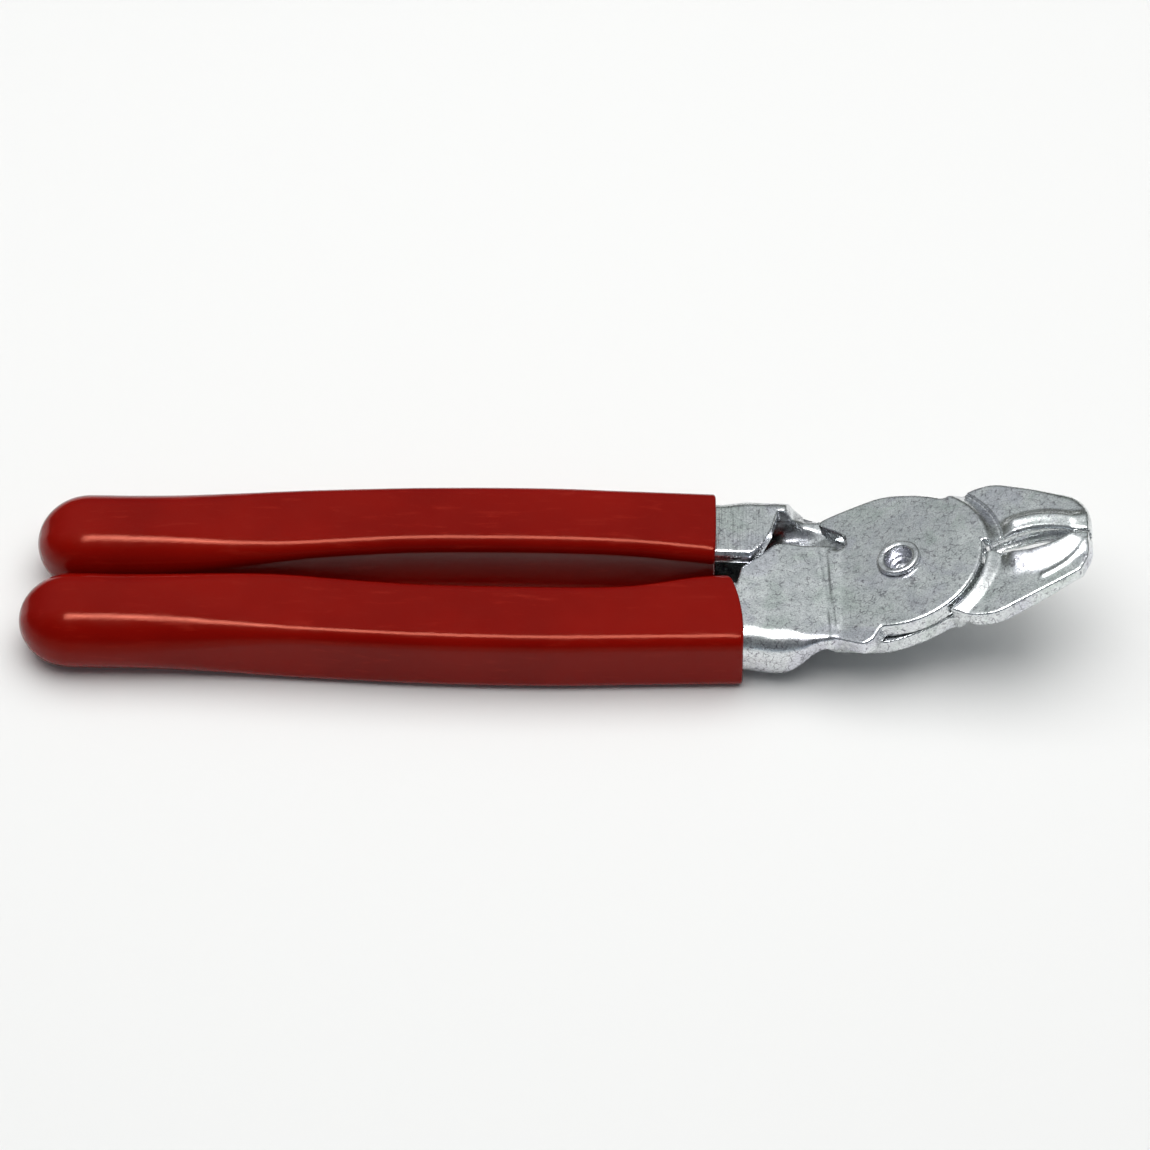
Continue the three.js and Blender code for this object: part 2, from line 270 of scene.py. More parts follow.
def head_outline(side):
    """The flat blank of a lever's head. The front jaw has a round corner and the rear jaw a slanted one."""
    corner = bezier((JAW_TIP, 4.6), (35.9, 8.9), (31.9, 10.8)) if side < 0 else [(36.4, 6.4), (34.9, 9.4)]
    plate_corner = math.pi * 1.43
    return [
        (JAW_TIP, AIR / 2), (JAW_TIP, 4.6), *corner, (31.9, 10.8), (20.9, 15.4),
        *bezier((20.9, 15.4), (19, 16.4), (16.8, 16.4)),
        *spline([(16.8, 16.4), (14.2, 16.0), (12.7, 15.4), (10.6, 14.6), (8.7, 13.9), (6.3, 14.9),
                 (3.3, 16.0)]),
        *spline([(3.3, 16.0), (-3, 17.1), (-9, 16), (-14, 14.6)]),
        *bezier((-14, 14.6), (-17, 13.6), (-15.4, 12.4)),
        (-12.3, 10.2),
        *bezier((-12.3, 10.2), (-9.6, 8), (-11.4, 6)),
        *bezier((-11.4, 6), (-12.6, 4.9), (-13.6, 6.3)),
        (-17, 7), (-17, -16.6), (-13.4, -16.4),
        *spline([(-13.4, -16.4), (-10.2, -18.1), (-7.3, -19.4), (-5.1, -18.5)]),
        *arc(PLATE_RADIUS, plate_corner, 2 * math.pi + math.asin(1 / PLATE_RADIUS), 48),
        MOUTH[0], *bezier(*MOUTH, steps=16),
    ]


def neck_outline(to_x, grip_end, grip_inner, far_side):
    """The flat sheet that widens out of a handle towards the head, drawn for the front lever."""
    return [
        (to_x, 6.9), (46.5, 7.2), *bezier((46.5, 7.2), (42, 8.6), (40.6, 6.2)), (35.3, 1.3),
        (grip_end, -grip_inner), (grip_end - 8, -grip_inner - 3), (grip_end - 8, -12), *far_side,
    ]


def polyline_distance(points, x, y):
    best = np.full(x.shape, 1e9)
    for (x0, y0), (x1, y1) in zip(points, points[1:]):
        ex, ey = x1 - x0, y1 - y0
        t = np.clip(((x - x0) * ex + (y - y0) * ey) / (ex * ex + ey * ey), 0, 1)
        best = np.minimum(best, (x - x0 - t * ex) ** 2 + (y - y0 - t * ey) ** 2)
    return np.sqrt(best)


FRONT_NECK = Raster(neck_outline(56, 34.2, 3.6, [(42, -12.4), (47.5, -14.6), (50.5, -16.3), (56, -16.4)]))
REAR_NECK = Raster(neck_outline(56, 31.6, 5, [(40, -13), (46, -16.2), (49.5, -16.0), (56, -16.4)]))
HEAD = {side: Raster(head_outline(side)) for side in (-1, 1)}


def head_field(u, v, w, side):
    """One lever's plate, step and jaw."""
    outline = HEAD[side](u, v)
    r = np.hypot(u, v)
    mouth = np.array([MOUTH[0]] + bezier(*MOUTH, steps=16))
    from_lip = v - np.interp(u, mouth[:, 0], mouth[:, 1])
    in_jaw = smoothstep(7.5, 9.5, u)
    along = smoothstep(19.0, 22.5, u) * (1 - 0.75 * smoothstep(33.0, 37.0, u))
    half = SHEET / 2
    plate_top = AIR / 2 + SHEET

    # Plate side: the sheet falls off the plate into a shallow groove, up over a crisp arc edge, and swells
    # beside the mouth.
    swell = 0.7 * smoothstep(-0.4, 0.9, from_lip) + 0.3 * smoothstep(0.9, 3.0, from_lip)
    swell = swell - smoothstep(3.0, 5.4, from_lip)
    fall = (plate_top - half + 0.55) * smoothstep(16.8, 19.9, r) - 0.55 * smoothstep(19.85, 20.2, r)
    top = plate_top - in_jaw * fall + 1.15 * swell * along

    # Step side: a ridge round the other plate, a slope down from it, a dome beside the mouth, and a fine
    # raised line inside the rim.
    dome = smoothstep(-0.4, 0.8, from_lip) - smoothstep(0.8, 6.2, from_lip)
    ridge = 0.85 * (1 - smoothstep(17.5, 19.8, r))
    line = polyline_distance([(36.2, 2.6), (34.8, 4.8), (32.2, 7.0), (29.4, 8.5), (27.5, 9.2)], u, v)
    bottom = -half - ridge - 1.25 * dome * along - 0.22 * bump(line, 0, 0.9)

    upper = w - top
    rolled = EDGE + 1.1 * smoothstep(24, 33, u) * smoothstep(3.5, 7.5, v)
    face = both(outline, upper, rolled)
    plate = both(face, AIR / 2 - w, 0.14)
    jaw = both(both(face, bottom - w, 0.3), STEP_RADIUS - r, 0.25)
    jaw = np.maximum(jaw, JAW_ROOT - u)
    field = join(plate, jaw, 0.3)

    groove_path = [(17, 0.3)] + bezier((17, 0.3), (26.5, 4.6), (35.4, 0.0), steps=14)
    groove = np.hypot(polyline_distance(groove_path, u, v), w) - 1.5
    field = cut(field, groove, 0.3)
    return cut(field, r - RIVET_HOLE, 0.2)


def section_corner(x):
    """Corner radius of a grip's section: square along the handle and rounder towards the butt."""
    return 2.7 + 3.6 * smoothstep(45, 85, -x)


def rounded_box(across, up, half_across, half_up, corner):
    """Signed distance to a rectangle with round corners."""
    dx, dz = np.abs(across) - half_across + corner, np.abs(up) - half_up + corner
    return np.hypot(np.maximum(dx, 0), np.maximum(dz, 0)) + np.minimum(np.maximum(dx, dz), 0) - corner


def half_plane(x0, z0, x1, z1, x, z):
    """Signed distance to a line, positive to its right going from its first point to its second."""
    dx, dz = x1 - x0, z1 - z0
    return ((x - x0) * dz - (z - z0) * dx) / math.hypot(dx, dz)


FOLD = {-1: 4.4, 1: 2.8}   # outer radius of each channel's folds


def channel_field(x, q, z, side, fold):
    """The folded channel of a handle. q is the distance from the middle plane to this handle's side."""
    flare_from = 31.0 if side > 0 else 36.0
    outer = (outer_side(x) - SHELL + NECK_FLARE * smoothstep(flare_from, flare_from + 6, x)
             - 1.3 * smoothstep(46, 52, x))
    inner = inner_side[side](x) + SHELL
    middle, tall = (BACK + FACE[side]) / 2, (FACE[side] - BACK) / 2
    outside = both(q - outer, np.abs(z - middle) - tall, fold)
    inside = both(q - outer + SHEET, np.abs(z - middle) - tall + SHEET, np.maximum(fold - SHEET, 0.4))
    channel = both(np.maximum(outside, -inside), inner - q, 1.3)
    slack = 0.1
    sleeve = rounded_box(q - (outer + inner) / 2, z - middle, (outer - inner) / 2 + slack, tall + slack,
                         section_corner(x) - 0.6)
    channel = np.where(x < 20, np.maximum(channel, sleeve), channel)
    return both(channel, BUTT[side] + 6.7 - x, 1.5)


def head_coordinates(x, y, z):
    """A place seen from the rivet's axis, turned with the bent head."""
    dx, dz = x - PIVOT[0], z - PIVOT[2]
    return dx * math.cos(BEND) + dz * math.sin(BEND), y, -dx * math.sin(BEND) + dz * math.cos(BEND)


def front_lever_field(x, y, z):
    """Front lever: flat face, one fold down its outer side that dies away towards the crease."""
    face = FACE[-1]
    channel = channel_field(x, -y, z, -1, FOLD[-1] - 3.3 * smoothstep(43, 52, x))
    under = face - SHEET
    slant = half_plane(41.6, BACK, 50.2, under, x, z)
    channel = cut(channel, both(-slant, z - under, 1.2), 0.45)
    channel = np.maximum(channel, x - CREASE_X - 0.9)
    flange_end = both(35.6 + 0.41 * (-y - 3) - x, z - BACK - SHEET - 0.8, 0.6)
    flange_end = np.maximum(flange_end, -y - 15.2)
    channel = cut(channel, flange_end, 0.4)
    neck = both(FRONT_NECK(x, y), np.abs(z - face + SHEET / 2) - SHEET / 2)
    neck = np.maximum(neck, x - CREASE_X - 0.9)
    u, v, w = head_coordinates(x, y, z)
    head = np.maximum(head_field(u, v, w, -1), np.minimum(CREASE_X - x, NECK_SIDE - y))
    first = bump(x + 0.14 * (y + 2.6), CREASE_X - 1.6, 0.55)
    second = bump(x + 0.09 * (y + 2.6), CREASE_X, 0.6)
    crease = (0.13 * first + 0.16 * second) * smoothstep(-15, -13, y) * (1 - smoothstep(4.5, 6.5, y))
    return join(np.minimum(channel, neck), head, 1.0) - crease * (z > face - 1)


def rear_lever_field(x, y, z):
    """Rear lever: its flange ends on a curve, and its plate dishes up into the fold of the outer wall."""
    face = FACE[1]
    middle = BACK + SHEET / 2
    sloped = PIVOT[2] - (AIR / 2 + SHEET / 2) / math.cos(BEND) + (x - PIVOT[0]) * math.tan(BEND)
    soft = 0.5
    centre = middle + soft * np.logaddexp(0, (sloped - middle) / soft)
    tilt = np.where(x > REAR_FOOT, math.cos(BEND), 1.0)
    height = z - centre

    channel = channel_field(x, y, z, 1, FOLD[1])
    wall_top = np.interp(x, [43.0, 43.9, 45.2, 47.5, 50.0, 54.0], [15.5, 13.4, 10.6, 8.1, 7.9, 8.6])
    channel = both(channel, (z - wall_top) * 0.6, 0.35)
    end_at = np.interp(y, [0, 3.7, 6.5, 10.4, 15.5, 20], [34.7, 37.2, 39.6, 41.2, 42.5, 43.1])
    flange_end = both(end_at - x, face - SHEET - 1.0 - z, 0.6)
    outer = outer_side(x) - SHELL + NECK_FLARE * smoothstep(31, 37, x)
    flange_end = np.maximum(flange_end, y - outer + SHEET + 0.2)
    channel = cut(channel, flange_end, 0.45)
    channel = np.maximum(channel, np.where(x > REAR_FOOT, -height * tilt - SHEET / 2, -9.0))
    channel = np.maximum(channel, x - 52.0)
    neck = both(REAR_NECK(x, -y), (np.abs(height) - SHEET / 2 / tilt) * tilt)
    neck = np.maximum(neck, x - 55.0)
    dish = 3.6 * smoothstep(-0.4, 1.4, height) * smoothstep(38, 44, x) * smoothstep(0.3, 2.5, outer - y)
    u, v, w = head_coordinates(x, y, z)
    head = np.maximum(head_field(u, -v, -w, 1), np.minimum(53.0 - x, NECK_SIDE + y))
    return join(join(channel, neck, 0.02 + dish), head, 0.4)


def sampled(field, xs, ys, zs, block=5):
    """A field on a grid. Blocks of samples that lie far from the surface keep the value of their middle."""
    middles = [a[np.minimum(np.arange(0, len(a), block) + block // 2, len(a) - 1)] for a in (xs, ys, zs)]
    values = field(*np.meshgrid(*middles, indexing="ij"))
    for axis, count in enumerate((len(xs), len(ys), len(zs))):
        values = np.repeat(values, block, axis=axis)
        values = values[tuple(slice(0, count) if k == axis else slice(None) for k in range(3))]
    reach = np.where(xs < HIDDEN_TO + 2, 5.0, 2.1)[:, None, None]
    near = np.nonzero(np.abs(values) < reach)
    values[near] = field(xs[near[0]], ys[near[1]], zs[near[2]])
    return values


def lever(name, node, field):
    """One stamping, finely meshed where it shows and coarsely inside its grip."""
    low, high = box_mm(node)
    xs = np.concatenate([np.arange(low[0] - 1, HIDDEN_TO, COARSE), np.arange(HIDDEN_TO, high[0] + 1.2, FINE)])
    ys = np.arange(low[1] - 1, high[1] + 1, FINE)
    zs = np.arange(low[2] - 1, high[2] + 2, FINE)
    vertices, faces = surface_net(sampled(field, xs, ys, zs), xs, ys, zs)
    piece = mesh_piece(name, vertices, faces)
    smooth = piece.modifiers.new("settle", "SMOOTH")
    smooth.factor = 0.5
    smooth.iterations = 3
    return piece


# ---------------------------------------------------------------------------------------------------------
# Grips
# ---------------------------------------------------------------------------------------------------------
GRIP_END = {-1: [(32.4, 0.0), (36.8, 8.0), (35.6, 24.0)], 1: [(30.2, 0.0), (30.9, 8.0), (30.2, 24.0)]}


def grip(name, side):
    """A dipped sleeve: rings from its domed butt to a rolled lip, then back inside."""
    around, stations = 112, 120
    turn = np.linspace(0, 2 * math.pi, around, endpoint=False) + 1e-3
    angle = turn + 0.6 * np.sin(4 * turn) / 4  # closer together at the four corners
    c, s = np.cos(angle), np.sin(angle)
    reach = np.maximum(np.abs(c), np.abs(s))
    square = np.stack([c / reach, s / reach])
    end_curve = np.array([GRIP_END[side][0]] + bezier(*GRIP_END[side], steps=20))

    def ring(x, inset, butt):
        """One closed ring. x may differ from point to point."""
        half_across = (outer_side(x) - inner_side[side](x)) / 2 - inset - GRIP_TRIM
        low, high = inset, FACE[side] + SHELL - inset
        half_up = (high - low) / 2
        depth = np.clip(1 - (x - butt) / BUTT_LENGTH, 0, 1)
        size = np.sqrt(np.maximum(1 - depth ** 2, 1e-4))
        corner = section_corner(x) - inset * 0.8
        a, b = half_across * size, half_up * size
        corner = np.minimum(corner * np.maximum(size, 0.3), np.minimum(a, b) * 0.98)
        qx, qz = square[0] * a, square[1] * b
        nx, nz = np.clip(qx, corner - a, a - corner), np.clip(qz, corner - b, b - corner)
        dx, dz = qx - nx, qz - nz
        length = np.maximum(np.hypot(dx, dz), 1e-9)
        px, pz = nx + dx / length * corner, nz + dz / length * corner
        middle_z = (low + high) / 2
        flat = 1 - smoothstep(45, 85, -x)
        crown = 0.13 * (pz / np.maximum(b, 1e-6)) ** 2
        sag = 0.75 * flat * (1 - np.minimum(1, np.abs(pz) / np.maximum(b - corner, 0.5)) ** 2)
        px = px + np.where(px > 0, -crown, sag) * size
        across = (outer_side(x) + inner_side[side](x)) / 2 + px
        return np.stack([x + 0 * px, side * across, middle_z + pz], axis=1)

    rings = []
    butt = BUTT[side]
    p = np.linspace(0, 1, stations)
    along = 1 - np.cos(p * math.pi / 2)
    for g in along:
        mean_x = butt + (32.0 - butt) * g
        across = (outer_side(mean_x) + inner_side[side](mean_x)) / 2
        half = (outer_side(mean_x) - inner_side[side](mean_x)) / 2
        end = np.interp(across + half * square[0], end_curve[:, 1], end_curve[:, 0]) - LIP
        rings.append(ring(butt + (end - butt) * g, 0.0, butt))
    for k in range(1, 9):
        roll = math.pi * k / 8
        rings.append(ring(end + LIP * math.sin(roll), VINYL * (1 - math.cos(roll)) / 2, butt))
    for g in np.linspace(0.97, 0.05, 26):
        rings.append(ring(butt + (end - butt) * g, VINYL, butt + 2.5))
    vertices = np.concatenate(rings)
    faces = []
    for k in range(len(rings) - 1):
        for i in range(around):
            j = (i + 1) % around
            quad = (k * around + i, k * around + j, (k + 1) * around + j, (k + 1) * around + i)
            faces.append(quad if side < 0 else quad[::-1])
    first = tuple(range(around))
    last = tuple(len(vertices) - around + i for i in range(around))
    faces += [first[::-1], last] if side < 0 else [first, last[::-1]]
    piece = mesh_piece(name, vertices, faces)
    weld(piece)
    return piece


def weld(piece):
    bm = bmesh.new()
    bm.from_mesh(piece.data)
    bmesh.ops.remove_doubles(bm, verts=bm.verts, dist=1e-6)
    bmesh.ops.recalc_face_normals(bm, faces=bm.faces)
    bm.to_mesh(piece.data)
    bm.free()
    piece.data.polygons.foreach_set("use_smooth", [True] * len(piece.data.polygons))


# ---------------------------------------------------------------------------------------------------------
# Rivet
# ---------------------------------------------------------------------------------------------------------
def rivet():
    """A semi-tubular rivet: domed head behind, shank, and a hollow end rolled over on the front."""
    seat = AIR / 2 + SHEET + 0.12
    profile = [(0.001, -seat - 1.75)]
    profile += bezier((0, -seat - 1.75), (4.4, -seat - 1.7), (4.75, -seat - 0.25), 12)
    profile += [(4.7, -seat), (3.5, -seat), (SHANK, -seat + 0.15), (SHANK, seat - 0.15), (3.5, seat),
                (4.0, seat)]
    profile += bezier((4.0, seat), (4.32, seat + 0.1), (4.24, seat + 0.45), 6)
    profile += bezier((4.24, seat + 0.45), (4.12, seat + 0.9), (3.7, seat + 0.95), 6)
    profile += [(3.2, seat + 0.9)]
    profile += bezier((3.2, seat + 0.9), (2.7, seat + 0.85), (2.6, seat + 0.2), 6)
    profile += [(2.55, 2.2)]
    profile += bezier((2.55, 2.2), (2.45, 1.35), (1.9, 1.45), 6)
    profile += bezier((1.9, 1.45), (1.1, 2.0), (0.001, 2.1), 8)
    around = 96
    angle = np.linspace(0, 2 * math.pi, around, endpoint=False)
    vertices, faces = [], []
    for r, w in profile:
        rolled = smoothstep(seat + 0.05, seat + 0.6, w) * smoothstep(2.5, 3.4, r)
        wobble = 0.035 * np.sin(2 * angle + 0.7) + 0.015 * np.sin(7 * angle + 2.1)
        radius = r + rolled * wobble
        height = w + rolled * (0.03 * np.sin(3 * angle + 1.1) + 0.012 * np.sin(9 * angle))
        u, v = radius * np.cos(angle), radius * np.sin(angle)
        x = PIVOT[0] + u * math.cos(BEND) - height * math.sin(BEND)
        z = PIVOT[2] + u * math.sin(BEND) + height * math.cos(BEND)
        vertices.append(np.stack([x, v, z], axis=1))
    for k in range(len(profile) - 1):
        for i in range(around):
            j = (i + 1) % around
            faces.append((k * around + i, k * around + j, (k + 1) * around + j, (k + 1) * around + i))
    faces.append(tuple(range(around))[::-1])
    faces.append(tuple((len(profile) - 1) * around + i for i in range(around)))
    piece = mesh_piece("rivet_clinched", np.concatenate(vertices), faces)
    weld(piece)
    return piece


# ---------------------------------------------------------------------------------------------------------
# Materials
# ---------------------------------------------------------------------------------------------------------
class Look:
    """A material with short calls for the nodes it needs. Textures lie in the piece's own coordinates."""

    def __init__(self, name):
        self.material = bpy.data.materials.new(name)
        self.material.use_nodes = True
        self.nodes = self.material.node_tree.nodes
        self.links = self.material.node_tree.links
        self.shader = self.nodes["Principled BSDF"]
        self.place = self.nodes.new("ShaderNodeTexCoord").outputs["Object"]

    def set(self, **values):
        for name, value in values.items():
            self.shader.inputs[name.replace("_", " ")].default_value = value

    def drive(self, name, source):
        self.links.new(source, self.shader.inputs[name])

    def noise(self, scale, detail=4.0, rough=0.55, warp=0.0, place=None):
        node = self.nodes.new("ShaderNodeTexNoise")
        node.inputs["Scale"].default_value = scale
        node.inputs["Detail"].default_value = detail
        node.inputs["Roughness"].default_value = rough
        node.inputs["Distortion"].default_value = warp
        self.links.new(place or self.place, node.inputs["Vector"])
        return node.outputs["Fac"]

    def stretched(self, x, y, z, turn=(0, 0, 0)):
        node = self.nodes.new("ShaderNodeMapping")
        node.inputs["Scale"].default_value = (x, y, z)
        node.inputs["Rotation"].default_value = turn
        self.links.new(self.place, node.inputs["Vector"])
        return node.outputs["Vector"]

    def warped(self, scale, amount):
        """The piece's coordinates pushed about by noise, so that cells become crooked."""
        noise = self.nodes.new("ShaderNodeTexNoise")
        noise.inputs["Scale"].default_value = scale
        self.links.new(self.place, noise.inputs["Vector"])
        node = self.nodes.new("ShaderNodeVectorMath")
        node.operation = "MULTIPLY_ADD"
        node.inputs[1].default_value = (amount, amount, amount)
        self.links.new(noise.outputs["Color"], node.inputs[0])
        self.links.new(self.place, node.inputs[2])
        return node.outputs["Vector"]

    def veins(self, scale, place):
        node = self.nodes.new("ShaderNodeTexVoronoi")
        node.feature = "DISTANCE_TO_EDGE"
        node.inputs["Scale"].default_value = scale
        self.links.new(place, node.inputs["Vector"])
        return node.outputs["Distance"]

    def level(self, source, low, high, to_low=0.0, to_high=1.0):
        node = self.nodes.new("ShaderNodeMapRange")
        node.interpolation_type = "SMOOTHSTEP"
        for name, value in (("From Min", low), ("From Max", high), ("To Min", to_low), ("To Max", to_high)):
            node.inputs[name].default_value = value
        self.links.new(source, node.inputs["Value"])
        return node.outputs["Result"]

    def math(self, operation, a, b):
        node = self.nodes.new("ShaderNodeMath")
        node.operation = operation
        for k, value in enumerate((a, b)):
            if isinstance(value, (int, float)):
                node.inputs[k].default_value = value
            else:
                self.links.new(value, node.inputs[k])
        return node.outputs["Value"]

    def mix(self, factor, a, b):
        node = self.nodes.new("ShaderNodeMix")
        node.data_type = "RGBA"
        self.links.new(factor, node.inputs["Factor"])
        for name, value in (("A", a), ("B", b)):
            socket = next(i for i in node.inputs if i.name == name and i.type == "RGBA")
            if isinstance(value, tuple):
                socket.default_value = (*value, 1.0)
            else:
                self.links.new(value, socket)
        return next(o for o in node.outputs if o.type == "RGBA")

    def bump(self, height, distance, strength=1.0, under=None):
        node = self.nodes.new("ShaderNodeBump")
        node.inputs["Distance"].default_value = distance
        node.inputs["Strength"].default_value = strength
        self.links.new(height, node.inputs["Height"])
        if under is not None:
            self.links.new(under, node.inputs["Normal"])
        return node.outputs["Normal"]

    def edges(self, low, high):
        """1 on convex edges, 0 on flats."""
        node = self.nodes.new("ShaderNodeNewGeometry")
        return self.level(node.outputs["Pointiness"], low, high)


LILAC_ZINC, GREEN_ZINC, RUBBED_ZINC = (0.68, 0.68, 0.77), (0.62, 0.70, 0.65), (0.90, 0.92, 0.92)
DULL_GRAIN, DARK_VEIN = (0.34, 0.34, 0.37), (0.16, 0.155, 0.18)
DEEP_RED, BRIGHT_RED = (0.168, 0.0014, 0.0006), (0.208, 0.0026, 0.0010)
SCUFFED_RED, DUSTY_RED = (0.225, 0.006, 0.003), (0.27, 0.02, 0.012)
FLOOR_GREY = (0.82, 0.82, 0.82, 1.0)


def zinc(name, light, tarnish, marks, ribs=0.0):
    """Bright zinc plate over a stamped sheet: faintly clouded, crazed with fine dark veins, edges rubbed."""
    look = Look(name)
    look.set(Metallic=1.0)
    clouds = look.noise(70, 3, 0.55, 0.3)
    tint = look.noise(130, 2, 0.5, 0.6)
    crooked = look.warped(1300, 0.0009)
    vein = look.level(look.veins(760, crooked), 0.0, 0.07, 1.0, 0.0)
    vein = look.math("MULTIPLY", vein, look.level(look.noise(800, 2, 0.6), 0.46, 0.60))
    hair = look.level(look.veins(1.0, look.stretched(420, 900, 420, (0.3, 0.2, 0.7))), 0.0, 0.045, 1.0, 0.0)
    hair = look.math("MULTIPLY", hair, look.level(look.noise(520, 2, 0.6), 0.52, 0.62))
    lines = look.math("MAXIMUM", vein, hair)
    grain = look.noise(3400, 2, 0.6)
    grey = look.mix(look.level(clouds, 0.35, 0.65), light, tarnish)
    lilac = look.mix(look.level(tint, 0.5, 0.68, 0.0, 0.55), grey, LILAC_ZINC)
    green = look.mix(look.level(tint, 0.46, 0.32, 0.0, 0.55), lilac, GREEN_ZINC)
    grained = look.mix(look.level(grain, 0.42, 0.68, 0.0, 0.55), green, DULL_GRAIN)
    lined = look.mix(look.math("MULTIPLY", lines, 0.9), grained, DARK_VEIN)
    worn = look.edges(0.512, 0.58)
    look.drive("Base Color", look.mix(look.math("MULTIPLY", worn, 0.6), lined, RUBBED_ZINC))
    rough = look.level(look.noise(420, 4, 0.65), 0.3, 0.7, 0.21, 0.31)
    rough = look.math("ADD", rough, look.math("MULTIPLY", lines, 0.05))
    look.drive("Roughness", look.math("SUBTRACT", rough, look.math("MULTIPLY", worn, 0.06)))
    scratch = look.noise(1.0, 3, 0.6, 0.0, look.stretched(260, 260, 2600, (0.12, 0.08, 0.2)))
    fine = look.bump(look.noise(1900, 3, 0.65), 0.00004, 0.55)
    crazed = look.bump(look.math("SUBTRACT", 1.0, lines), 0.000012, 0.25, fine)
    scored = look.bump(scratch, 0.00003, marks, crazed)
    if ribs:
        # The press has dragged fine ribs across the flange just outside the grip.
        split = look.nodes.new("ShaderNodeSeparateXYZ")
        look.links.new(look.place, split.inputs[0])
        rib = look.noise(1.0, 2, 0.55, 0.0, look.stretched(2300, 60, 60, (0, 0, 0.05)))
        on_flange = look.math("MULTIPLY", look.level(split.outputs["Z"], 0.0130, 0.0133),
                              look.level(split.outputs["X"], 0.0415, 0.0385))
        scored = look.bump(look.math("MULTIPLY", rib, on_flange), 0.00016, ribs, scored)
    look.drive("Normal", look.bump(look.noise(150, 2, 0.5), 0.0002, 0.2, scored))
    return look.material


def vinyl(name):
    """Dipped vinyl: deep glossy red with a faint orange peel and soft scuffs."""
    look = Look(name)
    look.set(Specular_IOR_Level=0.27, Specular_Tint=(1.0, 0.30, 0.20, 1.0))
    clouds = look.level(look.noise(40, 3, 0.5), 0.3, 0.7)
    scuff = look.noise(1.0, 4, 0.65, 0.3, look.stretched(120, 700, 700))
    rubbed = look.level(scuff, 0.55, 0.75)
    red = look.mix(clouds, DEEP_RED, BRIGHT_RED)
    dust = look.level(look.noise(3200, 2, 0.6), 0.66, 0.76, 0.0, 0.25)
    look.drive("Base Color", look.mix(dust, look.mix(rubbed, red, SCUFFED_RED), DUSTY_RED))
    rough = look.level(look.noise(260, 3, 0.6), 0.3, 0.7, 0.12, 0.20)
    look.drive("Roughness", look.math("ADD", rough, look.math("MULTIPLY", rubbed, 0.08)))
    peel = look.bump(look.noise(380, 2, 0.5), 0.00012, 0.25)
    look.drive("Normal", look.bump(look.noise(70, 2, 0.5), 0.0006, 0.22, peel))
    return look.material


# ---------------------------------------------------------------------------------------------------------
# Pieces
# ---------------------------------------------------------------------------------------------------------
plate_front = zinc("zinc_plate_front", (0.88, 0.915, 0.915), (0.76, 0.785, 0.80), 0.35)
plate_rear = zinc("zinc_plate_rear", (0.87, 0.905, 0.905), (0.74, 0.765, 0.78), 0.5, 1.5)
rivet_steel = zinc("rivet_steel", (0.88, 0.90, 0.91), (0.76, 0.78, 0.80), 0.1)
red_vinyl = vinyl("red_vinyl")


def add(piece, material, body, node):
    """Gives a piece its look and the body it rides on, and hides the node it stands for."""
    piece.data.materials.append(material)
    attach(piece, body)
    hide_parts(node)


add(lever("front_stamping", "front_lever", front_lever_field), plate_front, "front_half", "front_lever")
add(lever("rear_stamping", "rear_lever", rear_lever_field), plate_rear, "rear_half", "rear_lever")
add(grip("front_dipped_grip", -1), red_vinyl, "front_half", "front_grip")
add(grip("rear_dipped_grip", 1), red_vinyl, "rear_half", "rear_grip")
add(rivet(), rivet_steel, "rear_half", "pivot_rivet")

# ---------------------------------------------------------------------------------------------------------
# Floor, light and camera, in metres
# ---------------------------------------------------------------------------------------------------------
def floor():
    """A plain pale floor, flat and large."""
    size = 3.0
    mesh = bpy.data.meshes.new("floor")
    corners = [(-size, -size, 0), (size, -size, 0), (size, size, 0), (-size, size, 0)]
    mesh.from_pydata(corners, [], [(0, 1, 2, 3)])
    obj = bpy.data.objects.new("floor", mesh)
    bpy.context.scene.collection.objects.link(obj)
    look = Look("pale_floor")
    look.set(Base_Color=FLOOR_GREY, Roughness=0.9, Specular_IOR_Level=0.1)
    mesh.materials.append(look.material)


def panel(name, place, aim, width, height, power, colour, shows_in_shine=True):
    """A flat lamp. One kind is mirrored by the shiny parts, and the other only lights the matt ones."""
    light = bpy.data.lights.new(name, "AREA")
    light.shape = "RECTANGLE"
    light.size, light.size_y = width, height
    light.energy = power
    light.color = colour
    obj = bpy.data.objects.new(name, light)
    obj.location = place
    obj.rotation_euler = (Vector(aim) - Vector(place)).to_track_quat("-Z", "Y").to_euler()
    obj.visible_camera = False
    obj.visible_glossy = shows_in_shine
    obj.visible_diffuse = not shows_in_shine
    bpy.context.scene.collection.objects.link(obj)


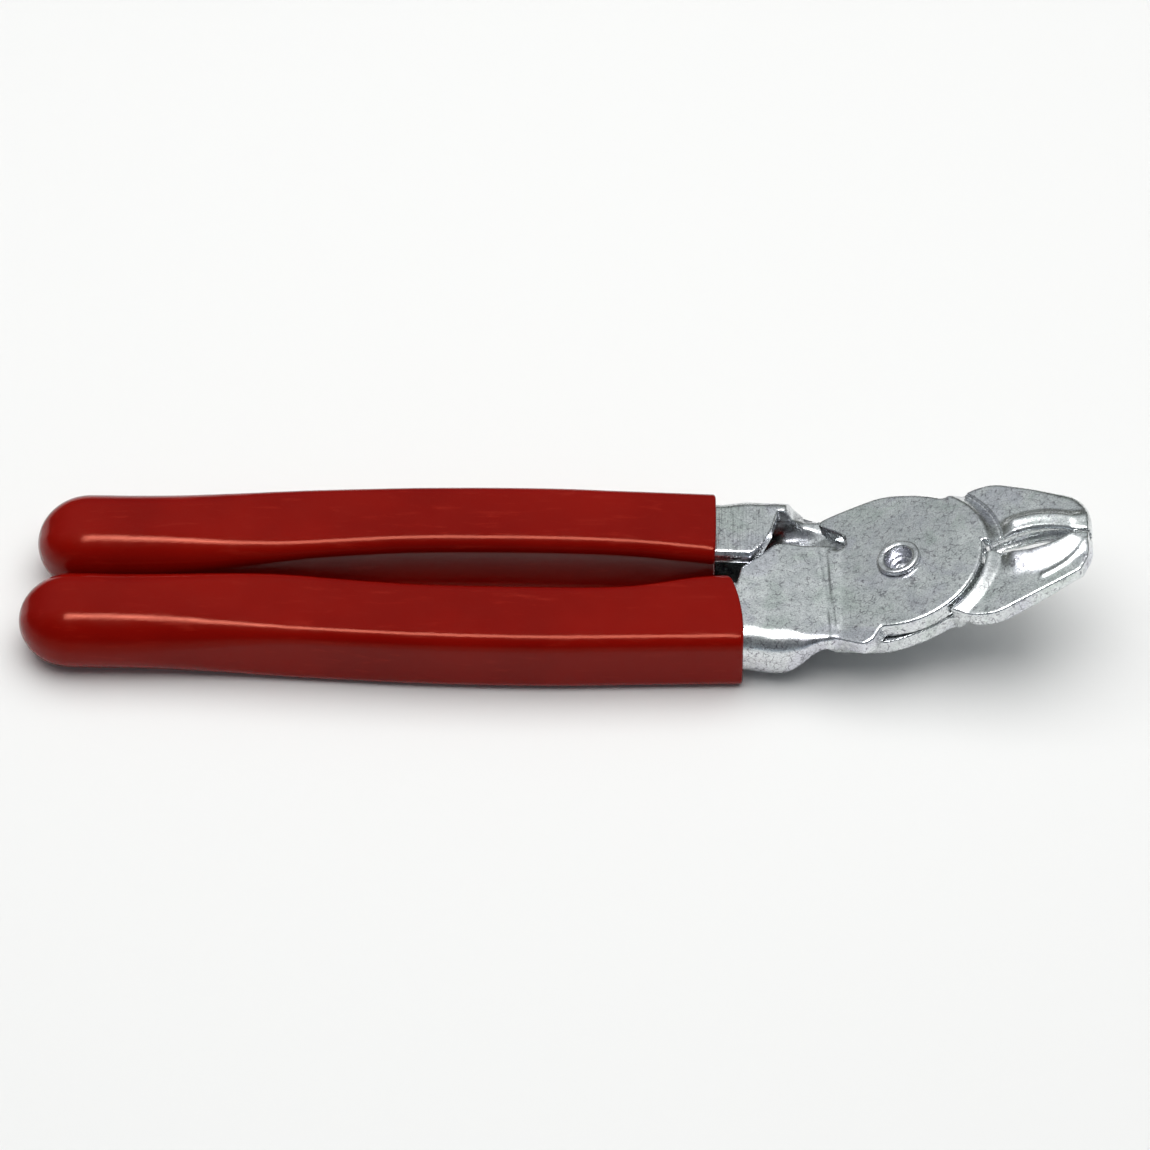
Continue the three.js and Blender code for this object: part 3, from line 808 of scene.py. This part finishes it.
def surroundings():
    """A soft room: grey behind the object, and on the camera's side pale low down and dark above."""
    world = bpy.data.worlds.new("room")
    world.use_nodes = True
    bpy.context.scene.world = world
    nodes, links = world.node_tree.nodes, world.node_tree.links
    place = nodes.new("ShaderNodeTexCoord").outputs["Generated"]
    split = nodes.new("ShaderNodeSeparateXYZ")
    links.new(place, split.inputs[0])

    def ramp(stops):
        node = nodes.new("ShaderNodeValToRGB")
        links.new(split.outputs["Z"], node.inputs[0])
        elements = node.color_ramp.elements
        while len(elements) < len(stops):
            elements.new(0.5)
        for element, (position, colour) in zip(elements, stops):
            element.position = position
            element.color = (*colour, 1)
        return node.outputs["Color"]

    behind = ramp([(0.0, (0.12, 0.12, 0.10)), (0.26, (0.10, 0.11, 0.10)), (0.46, (0.22, 0.23, 0.23)),
                   (0.62, (0.44, 0.47, 0.47)), (0.78, (0.53, 0.56, 0.56)), (0.92, (0.50, 0.52, 0.52)),
                   (1.0, (0.50, 0.50, 0.50))])
    ahead = ramp([(0.0, (0.50, 0.58, 0.64)), (0.14, (0.30, 0.35, 0.40)), (0.26, (0.14, 0.15, 0.16)),
                  (0.80, (0.14, 0.15, 0.16)), (0.92, (0.20, 0.21, 0.23)), (1.0, (0.50, 0.50, 0.50))])
    side = nodes.new("ShaderNodeMapRange")
    side.interpolation_type = "SMOOTHSTEP"
    side.inputs["From Min"].default_value = -0.35
    side.inputs["From Max"].default_value = 0.25
    links.new(split.outputs["Y"], side.inputs["Value"])
    blend = nodes.new("ShaderNodeMix")
    blend.data_type = "RGBA"
    links.new(side.outputs["Result"], blend.inputs["Factor"])
    sockets = [i for i in blend.inputs if i.type == "RGBA"]
    links.new(ahead, sockets[0])
    links.new(behind, sockets[1])
    background = nodes["Background"]
    background.inputs["Strength"].default_value = 1.0
    links.new(next(o for o in blend.outputs if o.type == "RGBA"), background.inputs["Color"])


def camera():
    elevation, azimuth, distance = math.radians(48), math.radians(1.0), 1.517
    aim = Vector((0.0038, -0.0014, 0.0124))
    flat = math.cos(elevation)
    away = Vector((math.sin(azimuth) * flat, -math.cos(azimuth) * flat, math.sin(elevation)))
    data = bpy.data.cameras.new("camera")
    data.lens, data.sensor_width = 250, 36
    data.clip_start, data.clip_end = 0.01, 20
    obj = bpy.data.objects.new("camera", data)
    obj.location = aim + away * distance
    obj.rotation_euler = (-away).to_track_quat("-Z", "Y").to_euler()
    bpy.context.scene.collection.objects.link(obj)
    bpy.context.scene.camera = obj


floor()
surroundings()
panel("overhead", (0.02, 0.02, 0.75), (0.0, 0.0, 0.0), 0.50, 0.20, 5.6, (1.0, 0.99, 0.97))
panel("overhead_left", (-0.18, 0.02, 0.75), (-0.10, 0.0, 0.0), 0.20, 0.10, 1.2, (1.0, 1.0, 1.0))
panel("soft_sky", (0.0, 0.1, 0.80), (0.0, 0.0, 0.0), 1.1, 1.1, 9.0, (1.0, 0.99, 0.97), shows_in_shine=False)
camera()
bpy.context.scene.view_settings.view_transform = "Standard"

bpy.context.view_layer.update()
